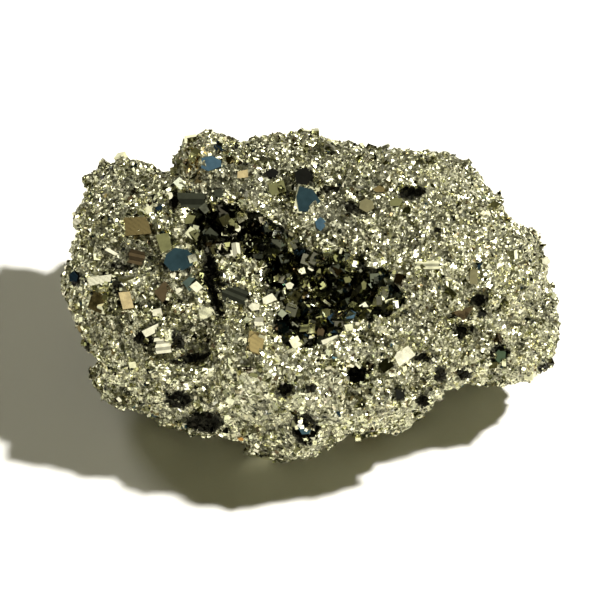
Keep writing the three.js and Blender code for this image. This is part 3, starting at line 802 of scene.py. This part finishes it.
# Pieces: name, form, number, smallest and largest side in mm, tilt from the skin
GRAIN_PIECES = [
    ("grains_a", BLOCK, 15600, 0.34, 0.72, 0.30),
    ("grains_b", BLOCK, 15600, 0.30, 0.60, 0.55),
    ("grains_c", CORNER, 26000, 0.36, 0.66, 0.35),
]
grain_finish = pyrite("grain_finish", False)
for name, form, number, smallest, largest, tilt in GRAIN_PIECES:
    places, outward = on_open_skin(number, GRAIN_GAP)
    count = len(places)
    right, up = all_on_show_face(places)
    fine = np.exp(-((right - FINE_MIDDLE[0]) ** 2 + (up - FINE_MIDDLE[1]) ** 2) / FINE_SPREAD)
    coarse = flaky(right, up)
    size = (smallest + (largest - smallest) * random.random(count) ** GRAIN_SIZE_POWER) * (
        1 - FINE_SHARE * fine + FLAKY_SIZE * coarse) * MM
    turns = turned_out(outward, tilt * (1 - FLAKY_TILT_LOSS * coarse)[:, None])
    if form is BLOCK:
        sides = size[:, None] * np.column_stack([
            random.uniform(low, high, count) for low, high in BLOCK_SIDES])
        sunk = places - outward * (size * random.uniform(*BLOCK_SUNK, count))[:, None]
    else:
        sides = size[:, None] * random.uniform(*CORNER_SIDES, (count, 3)) * (
            1, 1, CORNER_FLATNESS)
        sunk = places - outward * (size * random.uniform(*CORNER_SUNK, count))[:, None]
    sunk[:, 2] = np.maximum(sunk[:, 2], GRAIN_TABLE_SHARE * size + TABLE_GAP)
    tones = tones_for(count, GRAIN_COLOURS, GRAIN_SHARES, GRAIN_LIGHT_SPREAD, GRAIN_ROUGHNESS)
    patchy = np.array([noise.noise(Vector(p) / LARGE_BLOTCH)
                       + SMALL_BLOTCH_SHARE * noise.noise(Vector(p) / SMALL_BLOTCH)
                       for p in places])
    tones[:, :3] *= np.clip(1.0 + BLOTCH_CONTRAST * patchy + FLAKY_PAINTED_LIGHT * coarse,
                            *BLOTCH_RANGE)[:, None]
    rusty = np.exp(-((right - RUSTY_MIDDLE[0]) ** 2 + (up - RUSTY_MIDDLE[1]) ** 2) / RUSTY_SPREAD)
    rusty *= outward @ np.array(SHOW_OUT) > 0
    tones[:, :3] *= 1 - rusty[:, None] * RUSTY_LOSS
    paint_shade(tones, places, outward, GRAIN_PIT_LIGHT_UNDER_PAINTED_SHADE, PIT_DULLNESS)
    grains = joined_crystals(name, form, sunk, turns, sides, tones)
    grains.data.materials.append(grain_finish)
    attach(grains, "root")


# Middling crystals: cubes and blocks of about a millimetre that stand out of the grains, each with
# its own tint, partly tarnish and partly a painted reflection of what is around it. They are grown
# into the mass, and painted shade darkens them in pits.
MIDDLING = 520
MIDDLING_SMALLEST = 0.6
MIDDLING_RANGE = 1.0
MIDDLING_SIZE_POWER = 2.2
MIDDLING_SIDES = (0.7, 1.3)
MIDDLING_SUNK = (0.35, 0.6)
MIDDLING_GAP = 1.2 * MM
MIDDLING_COLOURS = [PALE, CREAM, OLIVE, TAN, BLUE, BROWN, BLACK, NIGHT_BLUE]
MIDDLING_SHARES = [0.44, 0.22, 0.16, 0.04, 0.01, 0.05, 0.06, 0.02]
MIDDLING_LIGHT_SPREAD = 0.15
MIDDLING_ROUGHNESS = (0.06, 0.2)
MIDDLING_PIT_LIGHT_UNDER_PAINTED_SHADE = 0.10

places, outward = on_open_skin(MIDDLING, MIDDLING_GAP)
count = len(places)
size = (MIDDLING_SMALLEST + MIDDLING_RANGE * random.random(count) ** MIDDLING_SIZE_POWER) * MM
sides = size[:, None] * random.uniform(*MIDDLING_SIDES, (count, 3))
sunk = places - outward * (size * random.uniform(*MIDDLING_SUNK, count))[:, None]
sunk[:, 2] = np.maximum(sunk[:, 2], size + TABLE_GAP)
tones = tones_for(
    count, MIDDLING_COLOURS, MIDDLING_SHARES, MIDDLING_LIGHT_SPREAD, MIDDLING_ROUGHNESS)
paint_shade(tones, places, outward, MIDDLING_PIT_LIGHT_UNDER_PAINTED_SHADE, 0)
middling = joined_crystals(
    "middling_crystals", BLOCK, sunk, random_turns(count), sides, tones)
middling.data.materials.append(grain_finish)
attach(middling, "root")


# Crystals in the hollow: blocks of half a millimetre to one and a half, grown on the crust. Most
# are coloured nearly black with painted shade of the deep hollow. The painted shade is darkest at
# its upper end and lightest in its middle.
HOLLOW_GRAINS = 3600
HOLLOW_DRAWN = 6500
HOLLOW_SMALLEST = 0.35
HOLLOW_RANGE = 1.15
HOLLOW_SIZE_POWER = 2.6
HOLLOW_SIDES = (0.7, 1.3)
HOLLOW_SUNK = (0.1, 0.4)
HOLLOW_GAP = 0.55 * MM
HOLLOW_COLOURS = [PALE, OLIVE, BROWN, SMOKE, CRUST_SKIN, NIGHT_BLUE]
HOLLOW_SHARES = [0.17, 0.19, 0.06, 0.26, 0.26, 0.06]
HOLLOW_LIGHT_SPREAD = 0.25
HOLLOW_ROUGHNESS = (0.06, 0.2)
# Painted shade and light across the hollow: the places to the right on the show face, and how light
# the colours are made at the upper end and in the middle
UPPER_END = (-9.0, -4.0)
HOLLOW_UPPER_END_PAINTED_LIGHT = 0.8
HOLLOW_MIDDLE_PAINTED_LIGHT = 1.6

corners_in, normals_in, areas_in, _ = triangles_of(crust)
places, outward, _ = scattered(corners_in, normals_in, areas_in, HOLLOW_DRAWN)
kept = np.array([mass_tree.find_nearest(Vector(p), HOLLOW_GAP)[0] is None for p in places])
kept &= clear_of_shown(places, outward)
places, outward = places[kept][:HOLLOW_GRAINS], outward[kept][:HOLLOW_GRAINS]
count = len(places)
size = (HOLLOW_SMALLEST + HOLLOW_RANGE * random.random(count) ** HOLLOW_SIZE_POWER) * MM
sides = size[:, None] * random.uniform(*HOLLOW_SIDES, (count, 3))
sunk = places - outward * (size * random.uniform(*HOLLOW_SUNK, count))[:, None]
turns = random_turns(count)
tones = tones_for(count, HOLLOW_COLOURS, HOLLOW_SHARES, HOLLOW_LIGHT_SPREAD, HOLLOW_ROUGHNESS)
right, _ = all_on_show_face(places)
tones[:, :3] *= np.interp(right, UPPER_END, (HOLLOW_UPPER_END_PAINTED_LIGHT, HOLLOW_MIDDLE_PAINTED_LIGHT))[:, None]
hollow_grains = joined_crystals("hollow_grains", BLOCK, sunk, turns, sides, tones)
hollow_grains.data.materials.append(pyrite("hollow_grain_finish", False))
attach(hollow_grains, "root")


# The table: a plain white sheet under the stone, which is not part of it.
FLOOR_HALF_WIDTH = 1.6
floor_mesh = bmesh.new()
bmesh.ops.create_grid(floor_mesh, x_segments=1, y_segments=1, size=FLOOR_HALF_WIDTH)
floor_data = bpy.data.meshes.new("floor")
floor_mesh.to_mesh(floor_data)
floor_mesh.free()
floor = bpy.data.objects.new("floor", floor_data)
bpy.context.scene.collection.objects.link(floor)
floor_finish = Finish("floor_finish")
floor_finish.feed(floor_finish.shader.inputs["Base Color"], (0.86, 0.85, 0.80, 1))
floor_finish.feed(floor_finish.shader.inputs["Roughness"], 0.9)
floor_finish.feed(floor_finish.shader.inputs["Specular IOR Level"], 0.1)
floor_data.materials.append(floor_finish.material)


# The light: one small strong lamp from the right, 55 degrees up, and a broad dim one from the
# back left. Four more broad lamps, which the table isn't lit by, are there for the bright metal
# to mirror, as it mirrors the windows and walls of a room. The rest is dim light from all round.
def lamp(name, place, size, power, colour, lights_table=True):
    """A round lamp that points at the stone: diameter in metres, power in watts."""
    light = bpy.data.lights.new(name, "AREA")
    light.shape = "DISK"
    light.size = size
    light.energy = power
    light.color = colour
    made = bpy.data.objects.new(name, light)
    made.location = place
    made.visible_diffuse = lights_table
    made.rotation_euler = (-Vector(place)).to_track_quat("-Z", "Y").to_euler()
    bpy.context.scene.collection.objects.link(made)


lamp("key", (0.523, 0.073, 0.754), 0.07, 17.0, (1.0, 0.985, 0.96))
lamp("fill", (-0.50, 0.50, 0.65), 0.35, 1.8, (1.0, 0.98, 0.90))
lamp("front box", SHOW_OUT * 0.95 + Vector((0.10, 0.0, 0.05)), 0.85, 2.5, (1.0, 0.98, 0.94),
     False)
lamp("low box", (0.05, -1.05, 0.22), 1.20, 5.8, (1.0, 0.98, 0.94), False)
lamp("top box", (0.30, 0.25, 0.95), 0.75, 2.4, (1.0, 1.0, 0.96), False)
lamp("window", (-0.55, -0.45, 0.75), 0.24, 1.0, (1.0, 1.0, 0.97), False)

ROOM_COLOUR = (0.37, 0.35, 0.175, 1)
ROOM_STRENGTH = 0.24
world = bpy.data.worlds.new("room")
world.use_nodes = True
world.node_tree.nodes["Background"].inputs["Color"].default_value = ROOM_COLOUR
world.node_tree.nodes["Background"].inputs["Strength"].default_value = ROOM_STRENGTH
bpy.context.scene.world = world
bpy.context.scene.view_settings.view_transform = "Standard"
bpy.context.scene.view_settings.look = "None"


# The camera: square to the show face, far enough for the stone's sides to look parallel.
SENSOR_WIDTH = 36
FRAME_WIDTH = 89.1 * MM
PICTURE_MIDDLE = SHOW_FACE_MIDDLE + SHOW_RIGHT * -1.78 * MM + SHOW_UP * -0.594 * MM
CAMERA_DISTANCE = 0.60
camera_data = bpy.data.cameras.new("camera")
camera_data.sensor_width = SENSOR_WIDTH
camera_data.lens = SENSOR_WIDTH * CAMERA_DISTANCE / FRAME_WIDTH
camera_data.clip_start = 0.01
camera_data.clip_end = 20
camera = bpy.data.objects.new("camera", camera_data)
camera.location = PICTURE_MIDDLE + SHOW_OUT * CAMERA_DISTANCE
camera.rotation_euler = (-SHOW_OUT).to_track_quat("-Z", "Y").to_euler()
bpy.context.scene.collection.objects.link(camera)
bpy.context.scene.camera = camera
